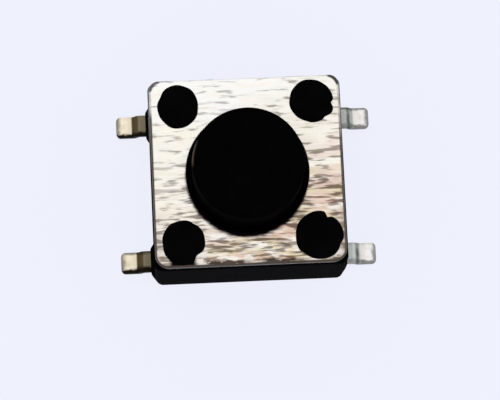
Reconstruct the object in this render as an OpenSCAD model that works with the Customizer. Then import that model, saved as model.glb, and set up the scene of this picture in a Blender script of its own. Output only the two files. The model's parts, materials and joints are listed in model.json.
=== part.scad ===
// Surface-mount tactile push button switch with four gull-wing leads.
// Millimetres. +X runs across the switch between the lead tips, +Y to the back and +Z up.
// The origin is the middle of the solder plane, on which the four feet stand.

/* [Housing] */
// Width of the moulded housing, along X
body_w = 6.1; // [5.9:0.1:8]
// Depth of the moulded housing, along Y
body_d = 6.0; // [5.9:0.1:8]
// Height of the housing's rim, under the cover plate, over the solder plane
body_h = 3.2; // [2.65:0.05:5]
// Gap between the solder plane and the housing's underside
standoff = 0.05; // [0.02:0.01:0.15]
// Radius of the housing's upright corners
body_corner_r = 0.25; // [0.1:0.05:0.5]
// Plastic over the buried strips, up to the cavity's floor
floor_cover = 0.18; // [0.1:0.01:0.4]
// Height of the round pocket that centres the dome
dome_pocket_h = 1.2; // [0.3:0.05:1.4]

/* [Lead exits] */
// Width of the raised pad on the wall round each lead
exit_pad_w = 1.2; // [0.9:0.05:1.4]
// Height of the raised pad, from the housing's underside
exit_pad_h = 0.5; // [0.4:0.05:1.2]
// How far the pad stands out of the wall
exit_pad_t = 0.16; // [0.04:0.02:0.3]
// How far each end of the pad slants in towards its face
exit_pad_slant = 0.22; // [0.05:0.01:0.25]

/* [Underside] */
// Diameter of the holes left by the pins that hold the strips in the mould
pin_hole_d = 0.7; // [0.4:0.05:0.9]
// Diameter of the ejector marks
ejector_d = 0.9; // [0.5:0.1:1.2]
// Depth of the ejector marks
ejector_depth = 0.04; // [0.02:0.01:0.1]
// Distance of the ejector marks from the middle, along X and Y
ejector_offset = 1.35; // [1.1:0.05:1.6]

/* [Cover plate] */
// Thickness of the cover plate
plate_t = 0.3; // [0.15:0.05:0.5]
// How far the plate's side edges lie inside the housing's walls
plate_inset_x = 0.05; // [0:0.01:0.15]
// How far the plate's front and back edges lie inside the housing's walls
plate_inset_y = 0.01; // [0:0.01:0.15]
// Radius of the plate's corners
plate_corner_r = 0.42; // [0.2:0.02:0.6]

/* [Stakes] */
// Diameter of each post that passes through the plate
post_d = 1.0; // [0.7:0.05:1.1]
// Distance from a post's axis to the housing's side wall
post_inset_x = 0.93; // [0.8:0.01:0.95]
// Distance from a post's axis to the housing's front or back wall
post_inset_y = 0.85; // [0.75:0.01:0.9]
// How far a melted head reaches out of its post
head_lip = 0.18; // [0.1:0.01:0.22]
// Height of the upright edge of a head
head_edge_h = 0.07; // [0.03:0.01:0.15]
// Height of the dome on top of a head
head_crown_h = 0.1; // [0.05:0.01:0.2]

/* [Button] */
// Diameter of the button
button_d = 3.5; // [2.9:0.1:3.6]
// Height of the button's top over the plate
button_rise = 1.5; // [0.8:0.1:10]
// Radius of the button's top edge
button_edge_r = 0.14; // [0.05:0.01:0.4]
// How far the flange reaches out of the stem
flange_lip = 0.4; // [0.25:0.05:0.45]
// Gap left between the pressed flange and the step round the dome's pocket
flange_stop_gap = 0.32; // [0.05:0.01:0.5]
// Diameter of the nub that presses the dome
nub_d = 1.4; // [0.8:0.1:1.8]
// Wall of the button round the ring-shaped core in its underside
core_wall = 0.25; // [0.2:0.05:0.5]
// Thickness of the button's top over that core
core_roof = 1.15; // [0.6:0.05:1.15]

/* [Dome] */
// Diameter of the snap dome
dome_d = 4.1; // [3.4:0.05:4.3]
// Thickness of the dome's sheet
dome_t = 0.08; // [0.04:0.01:0.12]
// Height of the dome's crown over its rim
dome_rise = 0.35; // [0.3:0.01:0.5]
// Travel of the button
travel = 0.25; // [0.15:0.01:0.28]

/* [Leads] */
// Width of each lead
lead_w = 0.7; // [0.4:0.05:0.9]
// Thickness of the strip
lead_t = 0.2; // [0.1:0.01:0.25]
// Distance from a lead's middle to the housing's front or back wall
lead_inset = 0.75; // [0.6:0.05:0.9]
// How far each lead's tip stands out of the housing's side wall
lead_reach = 1.1; // [0.9:0.01:2]
// Height of the buried strip's middle over the solder plane
strip_z = 0.3; // [0.28:0.01:0.6]
// Radius inside each bend
bend_r = 0.05; // [0.03:0.01:0.15]
// Angle of the lead's slope to the board
bend_angle = 60; // [30:1:65]
// Straight stretch between the wall's pad and the first bend
exit_flat = 0.14; // [0.01:0.01:0.4]

/* [Contacts] */
// Width of the tab that carries the middle contact
tab_w = 0.9; // [0.7:0.05:1.2]
// Diameter of the middle contact
contact_d = 0.9; // [0.6:0.05:1]
// Width of the arms that carry the rim contacts
arm_w = 0.6; // [0.4:0.05:0.8]
// Length of each rim contact, along Y
rim_pad_l = 0.8; // [0.4:0.05:1]
// Height of the rim contacts over the cavity's floor
rim_pad_rise = 0.02; // [0.01:0.01:0.05]
// Distance from the dome's rim in to the middle of each arm
rim_inset = 0.2; // [0.1:0.05:0.3]
// Strip left past each contact
contact_margin = 0.05; // [0.03:0.01:0.15]
// Chamfer round the top of the middle contact
contact_chamfer = 0.06; // [0.02:0.01:0.1]

/* [Clearances] */
// Gap round the button in the plate's hole
button_gap = 0.15; // [0.05:0.01:0.2]
// Gap round the flange in the cavity
flange_gap = 0.1; // [0.03:0.01:0.15]
// Gap round the dome in its pocket
dome_gap = 0.05; // [0.02:0.01:0.1]
// Gap round each post in the plate's hole
post_gap = 0.04; // [0.02:0.01:0.1]
// Play between the nub and the dome
nub_play = 0.02; // [0.01:0.01:0.04]

/* [Hidden] */
$fn = 64;
over = 0.5; // how far a cutting shape runs past the face that it opens
join = 0.1; // how far a shape runs into the one that it grows out of
strip_end_depth = 0.6; // how far the leads run into the housing before they join the strip

lead_pitch = body_d - 2 * lead_inset;
lead_span = body_w + 2 * lead_reach;
post_x = body_w / 2 - post_inset_x;
post_y = body_d / 2 - post_inset_y;
plate_w = body_w - 2 * plate_inset_x;
plate_d = body_d - 2 * plate_inset_y;
plate_top = body_h + plate_t;
head_d = post_d + 2 * head_lip;

strip_top = strip_z + lead_t / 2;
floor_z = strip_top + floor_cover;
rim_z = floor_z + rim_pad_rise;
crown_under = rim_z + dome_rise;
crown_top = crown_under + dome_t;
contact_top = crown_under - travel;

dome_pocket_d = dome_d + 2 * dome_gap;
flange_d = max(button_d + 2 * flange_lip, dome_pocket_d);
cavity_d = flange_d + 2 * flange_gap;
pocket_top = floor_z + dome_pocket_h;
flange_under = pocket_top + flange_stop_gap + travel;
nub_end = crown_top + nub_play;
button_top = plate_top + button_rise;
core_d = button_d - 2 * core_wall;
core_top = button_top - core_roof;
rim_pad_x = dome_d / 2 - rim_inset;
rim_pad_tip = rim_pad_l / 2 + contact_margin;
tab_tip = contact_d / 2 + contact_margin;
dimple_d = contact_d - 2 * lead_t;
dimple_top = contact_top - lead_t;

bend_mid_r = bend_r + lead_t / 2;
bend_lap = 0.3; // degrees by which a bend runs into the straight stretches, so that they join
bend_start = body_w / 2 + exit_pad_t + exit_flat;
slope_l = (strip_z - lead_t / 2 - 2 * bend_mid_r * (1 - cos(bend_angle))) / sin(bend_angle);
bend_run = 2 * bend_mid_r * sin(bend_angle) + slope_l * cos(bend_angle);
foot_start = bend_start + bend_run;

// Puts its children at the four places (x, y), (-x, y), (-x, -y) and (x, -y)
module at_corners(x, y) {
    for (sx = [-1, 1], sy = [-1, 1]) translate([sx * x, sy * y, 0]) children();
}

// A w by d rectangle about the origin, with corners of radius r
module round_rect(w, d, r) {
    square([w - 2 * r, d], center = true);
    square([w, d - 2 * r], center = true);
    at_corners(w / 2 - r, d / 2 - r) circle(r = r);
}

// A box centred on X and Y, from height z0 to z1
module slab(w, d, z0, z1) {
    translate([-w / 2, -d / 2, z0]) cube([w, d, z1 - z0]);
}

// A round bar on the Z axis, from height z0 to z1
module bar(d, z0, z1) {
    translate([0, 0, z0]) cylinder(h = z1 - z0, d = d);
}

// A ball's cap: its base is a disc of diameter d at height z0, and it rises by h
module cap(d, z0, h) {
    ball_r = (d * d / 4 + h * h) / (2 * h);
    intersection() {
        translate([0, 0, z0 + h - ball_r]) sphere(r = ball_r, $fn = 180);
        bar(d, z0, z0 + h + over);
    }
}

// The round part of a bend, in side view, about the origin: from angle a0, through the given sweep
module bend_sector(a0, sweep) {
    outer = bend_r + lead_t;
    lap = sign(sweep) * bend_lap;
    intersection() {
        difference() {
            circle(r = outer);
            circle(r = bend_r);
        }
        polygon([[0, 0], for (k = [0 : 4]) let (a = a0 - lap + k * (sweep + 2 * lap) / 4)
            2 * outer * [cos(a), sin(a)]]);
    }
}

// Side view of one lead, from inside the housing to its tip: X across, Y up
module lead_side() {
    // the straight stretch that starts inside the housing
    translate([body_w / 2 - strip_end_depth, strip_z - lead_t / 2])
        square([bend_start - body_w / 2 + strip_end_depth, lead_t]);
    // the bend down
    translate([bend_start, strip_z - bend_mid_r]) bend_sector(90, -bend_angle);
    // the slope, from the end of that bend
    translate([bend_start + bend_mid_r * sin(bend_angle), strip_z - bend_mid_r * (1 - cos(bend_angle))])
        rotate(-bend_angle) translate([0, -lead_t / 2]) square([slope_l, lead_t]);
    // the bend back, and the foot
    translate([foot_start, lead_t / 2 + bend_mid_r]) bend_sector(270, -bend_angle);
    translate([foot_start, 0]) square([lead_span / 2 - foot_start, lead_t]);
}

// One lead at its place on the +X side, in the strip that runs along y = 0
module lead() {
    rotate([90, 0, 0]) linear_extrude(lead_w, center = true) lead_side();
}

// The strip that joins two opposite leads, at the given side: 1 for the back, -1 for the front
module strip(side) {
    translate([0, side * lead_pitch / 2, 0]) {
        slab(body_w - strip_end_depth, lead_w, strip_z - lead_t / 2, strip_top);
        lead();
        mirror([1, 0, 0]) lead();
    }
}

// The raised middle contact, with a chamfered edge
module middle_contact() {
    bar(contact_d, strip_z, contact_top - contact_chamfer);
    translate([0, 0, contact_top - contact_chamfer])
        cylinder(h = contact_chamfer, d1 = contact_d, d2 = contact_d - 2 * contact_chamfer);
}

// Back strip, with the tab that carries the middle contact
module middle_contact_terminal_shape() {
    difference() {
        union() {
            strip(1);
            translate([-tab_w / 2, -tab_tip, strip_z - lead_t / 2])
                cube([tab_w, lead_pitch / 2 + tab_tip, lead_t]);
            middle_contact();
        }
        // the hollow under the contact, where the sheet was pushed up
        bar(dimple_d, strip_z - lead_t / 2 - over, dimple_top);
    }
}

// Front strip, with two arms that carry the contacts under the dome's rim
module rim_contact_terminal_shape() {
    strip(-1);
    for (sx = [-1, 1]) translate([sx * rim_pad_x, 0, 0]) {
        translate([-arm_w / 2, -lead_pitch / 2, strip_z - lead_t / 2])
            cube([arm_w, lead_pitch / 2 + rim_pad_tip, lead_t]);
        slab(arm_w, rim_pad_l, strip_z, rim_z);
    }
}

// The two raised pads at the ends of one strip, with slanted ends
module exit_pads() {
    face_x = body_w / 2 + exit_pad_t;
    face_y = exit_pad_w / 2 - exit_pad_slant;
    translate([0, 0, standoff]) linear_extrude(exit_pad_h)
        polygon([[face_x, face_y], [body_w / 2, exit_pad_w / 2], [-body_w / 2, exit_pad_w / 2],
            [-face_x, face_y], [-face_x, -face_y], [-body_w / 2, -exit_pad_w / 2],
            [body_w / 2, -exit_pad_w / 2], [face_x, -face_y]]);
}

// The hollow that holds the button's flange and the dome
module cavity() {
    bar(cavity_d, pocket_top, body_h + over);
    bar(dome_pocket_d, floor_z, body_h);
}

// The holes and marks in the housing's underside
module underside_marks() {
    for (x = [-rim_pad_x, 0, rim_pad_x]) translate([x, 0, 0])
        bar(pin_hole_d, standoff - over, strip_z - lead_t / 2);
    bar(dimple_d, standoff, dimple_top);
    at_corners(ejector_offset, ejector_offset) bar(ejector_d, standoff - over, standoff + ejector_depth);
}

// A post and the head that holds the plate down
module stake() {
    bar(post_d, body_h - join, plate_top + head_edge_h / 2);
    bar(head_d, plate_top, plate_top + head_edge_h);
    cap(head_d, plate_top + head_edge_h, head_crown_h);
}

module housing() {
    color([0.03, 0.03, 0.03]) {
        difference() {
            union() {
                translate([0, 0, standoff]) linear_extrude(body_h - standoff)
                    round_rect(body_w, body_d, body_corner_r);
                for (sy = [-1, 1]) translate([0, sy * lead_pitch / 2, 0]) exit_pads();
            }
            cavity();
            underside_marks();
            middle_contact_terminal_shape();
            rim_contact_terminal_shape();
        }
        at_corners(post_x, post_y) stake();
    }
}

module cover_plate() {
    color([0.80, 0.78, 0.74]) translate([0, 0, body_h]) linear_extrude(plate_t) difference() {
        round_rect(plate_w, plate_d, plate_corner_r);
        circle(d = button_d + 2 * button_gap);
        at_corners(post_x, post_y) circle(d = post_d + 2 * post_gap);
    }
}

// Half section of the button's outside: radius across, height up
module button_outline() {
    r = button_d / 2;
    translate([0, flange_under]) square([flange_d / 2, body_h - flange_under]);
    translate([0, flange_under]) square([r, button_top - button_edge_r - flange_under]);
    translate([0, flange_under]) square([r - button_edge_r, button_top - flange_under]);
    intersection() {
        translate([r - button_edge_r, button_top - button_edge_r]) circle(r = button_edge_r);
        square([r, button_top]);
    }
}

module button() {
    color([0.02, 0.02, 0.02]) {
        difference() {
            rotate_extrude($fn = 96) button_outline();
            bar(core_d, flange_under - over, core_top);
        }
        bar(nub_d, nub_end, core_top + join);
    }
}

// A shallow spherical shell, cut to a disc
module snap_dome() {
    rim_r = dome_d / 2;
    ball_r = (rim_r * rim_r + dome_rise * dome_rise) / (2 * dome_rise);
    color([0.75, 0.75, 0.76]) intersection() {
        translate([0, 0, crown_under - ball_r]) difference() {
            sphere(r = ball_r + dome_t, $fn = 360);
            sphere(r = ball_r, $fn = 360);
        }
        bar(dome_d, rim_z, crown_top + over);
    }
}

module middle_contact_terminal() {
    color([0.82, 0.80, 0.74]) middle_contact_terminal_shape();
}

module rim_contact_terminal() {
    color([0.82, 0.80, 0.74]) rim_contact_terminal_shape();
}

housing();
cover_plate();
button();
snap_dome();
middle_contact_terminal();
rim_contact_terminal();
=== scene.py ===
"""Visual model of a surface-mount tactile push button switch, laid out as a Blender add-on.

Every place comes from the CAD frame, in metres: +X across the switch between the lead tips, +Y to
the back, +Z up, with the origin in the middle of the solder plane. Each piece is a surface worked
out with numpy: a profile carried along a path, or turned round an axis, or a grid of points round
a post.
"""

import json
import math

import bmesh
import bpy
import numpy as np
from bpy.props import FloatProperty, FloatVectorProperty, PointerProperty
from bpy.types import Operator, Panel, PropertyGroup
from mathutils import Matrix, Vector


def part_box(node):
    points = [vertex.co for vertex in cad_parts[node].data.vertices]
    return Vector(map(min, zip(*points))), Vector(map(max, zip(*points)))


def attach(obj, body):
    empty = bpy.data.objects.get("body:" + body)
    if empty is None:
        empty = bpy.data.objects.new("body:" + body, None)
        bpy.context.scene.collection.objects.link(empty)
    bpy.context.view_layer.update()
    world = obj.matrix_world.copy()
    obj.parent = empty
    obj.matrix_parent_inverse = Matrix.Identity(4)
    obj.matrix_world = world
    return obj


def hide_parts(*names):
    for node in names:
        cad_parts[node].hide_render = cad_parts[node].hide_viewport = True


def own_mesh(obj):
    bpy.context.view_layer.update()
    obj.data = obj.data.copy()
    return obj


bl_info = {
    "name": "Tactile Push Button Switch",
    "version": (1, 0, 0),
    "blender": (4, 5, 0),
    "location": "View3D > Sidebar > Switch",
    "description": "Makes the pieces and finishes of a surface-mount tactile switch",
    "category": "Add Mesh",
}

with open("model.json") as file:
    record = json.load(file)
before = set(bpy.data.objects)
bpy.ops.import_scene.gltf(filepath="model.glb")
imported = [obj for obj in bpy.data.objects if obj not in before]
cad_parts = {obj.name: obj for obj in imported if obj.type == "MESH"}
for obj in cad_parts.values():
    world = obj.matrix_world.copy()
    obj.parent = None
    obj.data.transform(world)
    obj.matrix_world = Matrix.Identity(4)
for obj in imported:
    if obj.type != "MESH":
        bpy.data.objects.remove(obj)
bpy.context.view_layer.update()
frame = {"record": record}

MM = 0.001  # in metres
WELD = 0.00008 * MM  # points closer than this are one
SWITCH_BODY, PUSH_BUTTON = "switch_body", "push_button"

HOUSING_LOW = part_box("housing")[0]
PLATE_LOW, PLATE_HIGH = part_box("cover_plate")
BUTTON_LOW, BUTTON_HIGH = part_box("button")
DOME_LOW, DOME_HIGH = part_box("snap_dome")
BACK_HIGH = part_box("middle_contact_terminal")[1]
FRONT_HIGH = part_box("rim_contact_terminal")[1]
MOUNTS = {mount["name"]: Vector(mount["pos_m"]) for mount in frame["record"]["mounts"]}
LEAD_Y = MOUNTS["foot_back_left"].y

HOUSING_TOP = PLATE_LOW.z
POST = np.array([2.12, 2.15]) * MM
CREASE = math.radians(38)  # edges that turn by more than this stay hard
KEY_DIRECTION = Vector((-0.35, 0.75, 0.70)).normalized()  # from the switch to its lamp

# Half section of a melted head: share of the rim's radius, and height over the plate in mm.
HEAD_PROFILE = np.array([(0.970, 0.000), (0.990, 0.010), (1.000, 0.030), (0.990, 0.055),
                         (0.965, 0.078), (0.92, 0.097), (0.85, 0.113), (0.75, 0.129),
                         (0.62, 0.144), (0.45, 0.157), (0.25, 0.166), (0.10, 0.1695), (0.0, 0.170)])

# The four posts, and how each head melted: how far it ran off its post's axis, what is added to its
# radius, its nicks as (direction, depth, half width) and its lobes as (waves round the rim, height,
# phase). Lengths are in mm and angles in degrees, turning from +X towards +Y.
HEADS = {
    (-1, 1): dict(off=(0.016, 0.006), grow=-0.010, nicks=[(150, 0.02, 14)],
                  lobes=[(2, 0.026, 90), (5, 0.007, 40), (9, 0.004, 10)]),
    (1, 1): dict(off=(-0.010, 0.028), grow=0.010,
                 nicks=[(-8, 0.075, 7), (-30, -0.060, 12), (-52, 0.040, 9), (28, 0.015, 9)],
                 lobes=[(2, 0.008, 150), (4, 0.008, 20), (9, 0.005, 70)]),
    (-1, -1): dict(off=(0.022, -0.038), grow=0.010, nicks=[(-46, 0.100, 15), (60, 0.02, 8)],
                   lobes=[(2, 0.024, 80), (3, 0.008, 10), (8, 0.005, 30)]),
    (1, -1): dict(off=(0.038, 0.034), grow=0.075,
                  nicks=[(64, 0.140, 8), (50, 0.045, 10), (-25, 0.03, 8)],
                  lobes=[(2, 0.012, 100), (5, 0.008, 0), (7, 0.006, 50)]),
}


# ---------------------------------------------------------------- settings

def size(name, text, value, least=0.0):
    """A length property, given here in millimetres, held in metres and shown in the scene's units."""
    return FloatProperty(name=name, description=text, default=value * MM, min=least * MM,
                         precision=6, unit="LENGTH", subtype="DISTANCE")


def degrees(name, text, value):
    """An angle property, given here in degrees, held in radians and shown in the scene's units."""
    return FloatProperty(name=name, description=text, default=math.radians(value),
                         unit="ROTATION", subtype="ANGLE")


def amount(name, text, value, most=1.0):
    """A plain number from 0 to the given most."""
    return FloatProperty(name=name, description=text, default=value, min=0.0, max=most)


def colour(name, text, value):
    """A linear colour property."""
    return FloatVectorProperty(name=name, description=text, default=value, size=3, min=0.0,
                               max=1.0, subtype="COLOR")


class PlateSettings(PropertyGroup):
    """Sizes and colours of the brushed cover plate."""
    corner: size("Corner radius", "Radius of the plate's front corners", 0.42)
    back_corner: size("Back corner radius", "Radius of the plate's back corners", 0.30)
    back: size("Set back", "How far the plate sits towards the back of its posts", 0.03)
    roll: size("Rolled edge", "Radius of the outer edge, rolled over by the die", 0.11)
    hole: size("Hole radius", "Radius of the hole round the button", 1.90)
    hole_roll: size("Hole edge", "Radius of the hole's rolled edge", 0.05)
    post_hole: size("Post hole radius", "Radius of the holes for the posts", 0.54)
    burr: size("Burr", "Radius of the sheared edges that aren't rolled", 0.015)
    bright: colour("Bright metal", "The plate's colour where it is clean", (0.985, 0.980, 0.955))
    fleck: colour("Flecks", "The brighter flecks in the tarnish", (0.98, 0.94, 0.87))
    cream: colour("Cream", "The palest tarnish, on the left", (0.98, 0.915, 0.76))
    tarnish: colour("Tarnish", "The warm tone towards the front right", (0.82, 0.69, 0.46))
    blush: colour("Blush", "The pinker patches of that tone", (0.81, 0.59, 0.47))
    scuff: colour("Scuff", "Colour of the scuffs by the front heads", (0.80, 0.77, 0.74))
    # these two colours also paint the shade by the two front corners
    scratch_and_shade: colour("Scratch", "Colour inside the dark brush marks", (0.100, 0.068, 0.036))
    rust_and_shade: colour("Rust", "Colour of the redder brush marks", (0.120, 0.064, 0.046))
    # the rolled edge's colour is painted shade
    rolled_edge_shade: colour("Sheared edge", "Colour of the rolled and sheared edge", (0.078, 0.061, 0.049))
    # the soot colour also paints the shade on the plate's two back corners
    soot_and_shade: colour("Soot", "Colour of the front edge's marks and the back corners", (0.040, 0.030, 0.024))
    # painted shade: a painted reflection of the button in front of its hole, and shade between the left
    # front head and the front edge
    painted_shade: colour("Dirt", "Colour of the dirt in front of the button", (0.005, 0.002, 0.003))


class HousingSettings(PropertyGroup):
    """Sizes and colours of the moulded housing and its melted heads."""
    corner: size("Corner radius", "Radius of the upright corners", 0.25)
    half_x: size("Half width", "Half of the moulded box's width", 3.05)
    half_y: size("Half depth", "Half of the moulded box's depth", 3.0)
    top_edge: size("Edge radius", "Radius of the box's upper and lower edges", 0.04)
    pad_reach: size("Pad reach", "How far a pad round a lead stands out", 0.13)
    pad_width: size("Pad width", "Width of a pad along the wall", 1.26)
    pad_top: size("Pad top", "Height of a pad's upper edge", 0.55)
    pad_slant: size("Pad slant", "Length over which each end of a pad slants in", 0.28)
    pad_step: size("Pad step", "Height over which a pad's upper face steps in", 0.04)
    cavity: size("Cavity radius", "Radius of the hollow round the flange", 2.25)
    pocket: size("Pocket radius", "Radius of the pocket that centres the dome", 2.10)
    pocket_height: size("Pocket height", "Height of that pocket", 1.2)
    floor_height: size("Floor height", "Height of the cavity's floor", 0.58)
    ledge: size("Ledge", "Radius where the cavity's wall meets its ledge", 0.06)
    pocket_rim: size("Pocket rim", "Radius of the pocket's upper edge", 0.03)
    pocket_root: size("Pocket root", "Radius where the pocket meets the floor", 0.08)
    post: size("Post radius", "Radius of a post in the plate's hole", 0.5)
    head: size("Head radius", "Mean radius of a melted head", 0.68)
    lump: size("Lumps", "Height of the lumps on a melted head", 0.006)
    pin_hole: size("Pin hole radius", "Radius of the holes left by the mould's pins", 0.35)
    pin_place: size("Pin place", "Distance of the outer pin holes from the middle", 1.85)
    pin_top: size("Pin hole height", "Height to which the pin holes reach", 0.22)
    mark: size("Mark radius", "Radius of the ejector marks", 0.45)
    mark_place: size("Mark place", "Distance of the ejector marks along X and Y", 1.35)
    mark_depth: size("Mark depth", "Depth of the ejector marks", 0.04)
    plastic: colour("Plastic", "Colour of the moulded plastic", (0.0013, 0.0013, 0.0014))
    rough: amount("Roughness", "Mean roughness of the plastic", 0.80)
    sheen: amount("Sheen", "Strength of the plastic's reflections", 0.004)
    # the colour of the painted highlight on the upper edge round the plate
    edge_highlight: colour("Worn edge", "Colour of the paler rim round the plate", (0.24, 0.23, 0.22))


class ButtonSettings(PropertyGroup):
    """Sizes and colours of the round button."""
    radius: size("Radius", "Radius of the button's stem", 1.75)
    edge: size("Edge radius", "Radius of the button's top edge", 0.14)
    flange_under: size("Flange height", "Height of the flange's underside", 2.35)
    core: size("Core radius", "Outer radius of the ring-shaped core", 1.5)
    core_top: size("Core height", "Height of the core's roof", 3.85)
    nub: size("Nub radius", "Radius of the nub over the dome", 0.7)
    root: size("Root radius", "Radius where the stem meets the flange", 0.03)
    flange_edge: size("Flange edge", "Radius of the flange's edges", 0.04)
    core_edge: size("Core edge", "Radius of the edges of the core's roof", 0.08)
    nub_edge: size("Nub edge", "Radius of the nub's lower edge", 0.15)
    clear: size("Shoulder clearance", "Room between the flange and the plate at rest", 0.005)
    plastic: colour("Plastic", "Colour of the moulded plastic", (0.0010, 0.0008, 0.0009))
    rough: amount("Roughness", "Mean roughness of the plastic", 0.60)
    sheen: amount("Sheen", "Strength of the plastic's reflections", 0.002)
    # the colour and direction of the painted glint on the button's top edge
    edge_highlight: colour("Rubbed edge", "Colour of the rubbed top edge", (0.070, 0.051, 0.043))
    glint_towards: degrees("Rubbed towards", "Direction of the rubbed edge, from +X to +Y", 168)


class DomeSettings(PropertyGroup):
    """Sizes and colours of the snap dome."""
    sheet: size("Sheet", "Thickness of the dome's sheet", 0.08)
    travel: size("Travel", "How far the button presses the dome", 0.25)
    play: size("Play", "Room between the dome and the button at rest", 0.02)
    clear: size("Clearance", "Room between them when the button is down", 0.005)
    steel: colour("Steel", "Colour of the spring steel", (0.72, 0.72, 0.73))


class TerminalSettings(PropertyGroup):
    """Sizes and colours of the two stamped terminals."""
    width: size("Lead width", "Width of each lead", 0.7)
    sheet: size("Sheet", "Thickness of the strip", 0.2)
    edge: size("Edge radius", "Radius of the strip's long edges", 0.06)
    tip_corner: size("Tip corner", "Radius of the corners at each lead's tip", 0.15)
    strip_height: size("Strip height", "Height of the buried strip's middle", 0.3)
    bend: size("Bend radius", "Radius of each bend, at the strip's middle", 0.15)
    bend_start: size("First bend", "Where the first bend starts, from the middle", 3.35)
    slope: degrees("Slope", "Angle of the lead to the board", 60)
    arm: size("Arm width", "Width of the arms under the dome's rim", 0.6)
    arm_place: size("Arm place", "Distance of each arm's middle from the middle", 1.85)
    tab: size("Tab width", "Width of the middle contact's tab", 0.9)
    contact: size("Contact radius", "Radius of the middle contact", 0.45)
    chamfer: size("Chamfer", "Width of the middle contact's bevelled rim", 0.06)
    hair: size("Hair", "Step that keeps joined faces out of one plane", 0.002)
    tab_tip: size("Tab tip", "How far the tab runs past the middle", 0.5)
    arm_tip: size("Arm tip", "How far the arms run past the middle", 0.45)
    rim_pad: size("Rim contact", "Length of each contact under the dome's rim", 0.8)
    burr: size("Sheared edge", "How far the sheared ends narrow", 0.012)
    silver: colour("Silver", "Colour of the plating", (0.96, 0.94, 0.92))
    warm: colour("Warm silver", "Colour of the plating on the warmer left side", (0.97, 0.86, 0.68))
    stain: colour("Stain", "Colour of the plating's duller clouds", (0.50, 0.44, 0.36))
    # painted light and shade on the slopes: olive on the left, paler by the wall, and grey on the right
    olive: colour("Olive", "Stain on the left slopes", (0.095, 0.070, 0.034))
    pale_olive: colour("Pale olive", "Stain on the left slopes, by the wall", (0.25, 0.21, 0.14))
    grey: colour("Grey", "Stain on the right slopes", (0.60, 0.635, 0.61))
    # the colour of the painted shade on the leads' borders and slopes
    lead_shade: colour("Burnt edge", "Colour of the dull borders", (0.010, 0.008, 0.005))
    sheared: colour("Sheared end", "Colour of the bare sheared ends", (0.45, 0.38, 0.31))


class StageSettings(PropertyGroup):
    """Settings of the floor, the light and the camera."""
    floor: colour("Floor", "Colour of the floor", (0.866, 0.884, 0.985))
    floor_reach: size("Floor reach", "From the switch to each side of the floor", 600)
    floor_drop: size("Floor drop", "How far the floor lies under the feet", 0.005)
    shade: amount("Shade", "How much of the floor's shadow shows", 0.07)
    world: amount("World", "Strength of the even surrounding light", 0.985, 10.0)
    key: amount("Key lamp", "Radiance of the large lamp at the back", 1.0, 10.0)
    key_side: size("Key side", "Length of that lamp's side", 100)
    key_distance: size("Key distance", "From the switch to that lamp", 300)
    distance: size("Camera distance", "From the plate's middle to the camera", 76.6)
    azimuth: degrees("Azimuth", "Camera's turn from the front, negative to the left", -9.55)
    elevation: degrees("Elevation", "Camera's angle over the floor", 79.83)
    roll: degrees("Roll", "Camera's turn about its own axis", 7.02)
    field: size("Field width", "Width that the camera sees at the plate", 15.684)
    aside: size("Aside", "How far the plate's middle lies to the right of the view's", -0.0743, -1.0)
    above: size("Above", "How far the plate's middle lies above the view's", 0.9012, -1.0)


# ---------------------------------------------------------------- surfaces

def steps(start, stop, count):
    """Evenly spaced numbers, both ends included."""
    return np.linspace(start, stop, count + 1)


def smooth_step(value):
    """0 below 0, 1 above 1, and the cubic 3t^2 - 2t^3 between."""
    t = np.clip(value, 0.0, 1.0)
    return t * t * (3.0 - 2.0 * t)


def directions(rows):
    """Each row, at a length of 1."""
    return rows / np.linalg.norm(rows, axis=1)[:, None]


def patch(points, wrap=False):
    """A grid of points, rows x columns x 3, as (points, quads between neighbours). A wrapped grid
    also joins its last column to its first."""
    rows, columns = points.shape[:2]
    i, j = np.meshgrid(np.arange(rows - 1), np.arange(columns - (not wrap)), indexing="ij")
    j_next = (j + 1) % columns
    corners = [i * columns + j, (i + 1) * columns + j, (i + 1) * columns + j_next, i * columns + j_next]
    return points.reshape(-1, 3), np.stack(corners, -1).reshape(-1, 4)


def welded(mesh, near):
    """The mesh, with points closer than near made one, and the faces turned outwards. A quad that
    loses one corner this way becomes a triangle, and one that loses two goes."""
    work = bmesh.new()
    work.from_mesh(mesh)
    bmesh.ops.remove_doubles(work, verts=work.verts, dist=near)
    bmesh.ops.recalc_face_normals(work, faces=work.faces)
    work.to_mesh(mesh)
    work.free()
    return mesh


def surface(name, *patches):
    """One closed mesh from patches that share their edges."""
    starts = np.cumsum([0] + [len(points) for points, _ in patches[:-1]])
    points = np.concatenate([points for points, _ in patches])
    quads = np.concatenate([faces + start for (_, faces), start in zip(patches, starts)])
    mesh = bpy.data.meshes.new(name)
    mesh.from_pydata(points.tolist(), [], quads.tolist())
    return welded(mesh, WELD)


def resized(mesh, factor):
    """The mesh, with every point multiplied by the factor."""
    points = np.empty(len(mesh.vertices) * 3, np.float32)
    mesh.vertices.foreach_get("co", points)
    mesh.vertices.foreach_set("co", points * factor)
    mesh.update()
    return mesh


def combined(mesh, others, operation):
    """A new mesh: the others joined to the first or cut from it. The work is done at a thousand
    times the size, where the solver's tolerances don't matter."""
    parts = []
    for part in (mesh, *others):
        parts.append(bpy.data.objects.new(part.name, resized(part, 1 / MM)))
        bpy.context.scene.collection.objects.link(parts[-1])
    for other in parts[1:]:
        step = parts[0].modifiers.new("combine", "BOOLEAN")
        step.operation, step.solver, step.object = operation, "EXACT", other
    bpy.context.view_layer.update()
    graph = bpy.context.evaluated_depsgraph_get()
    done = bpy.data.meshes.new_from_object(parts[0].evaluated_get(graph))
    for part in parts:
        bpy.data.objects.remove(part)
    return resized(welded(done, WELD / MM), MM)


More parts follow.
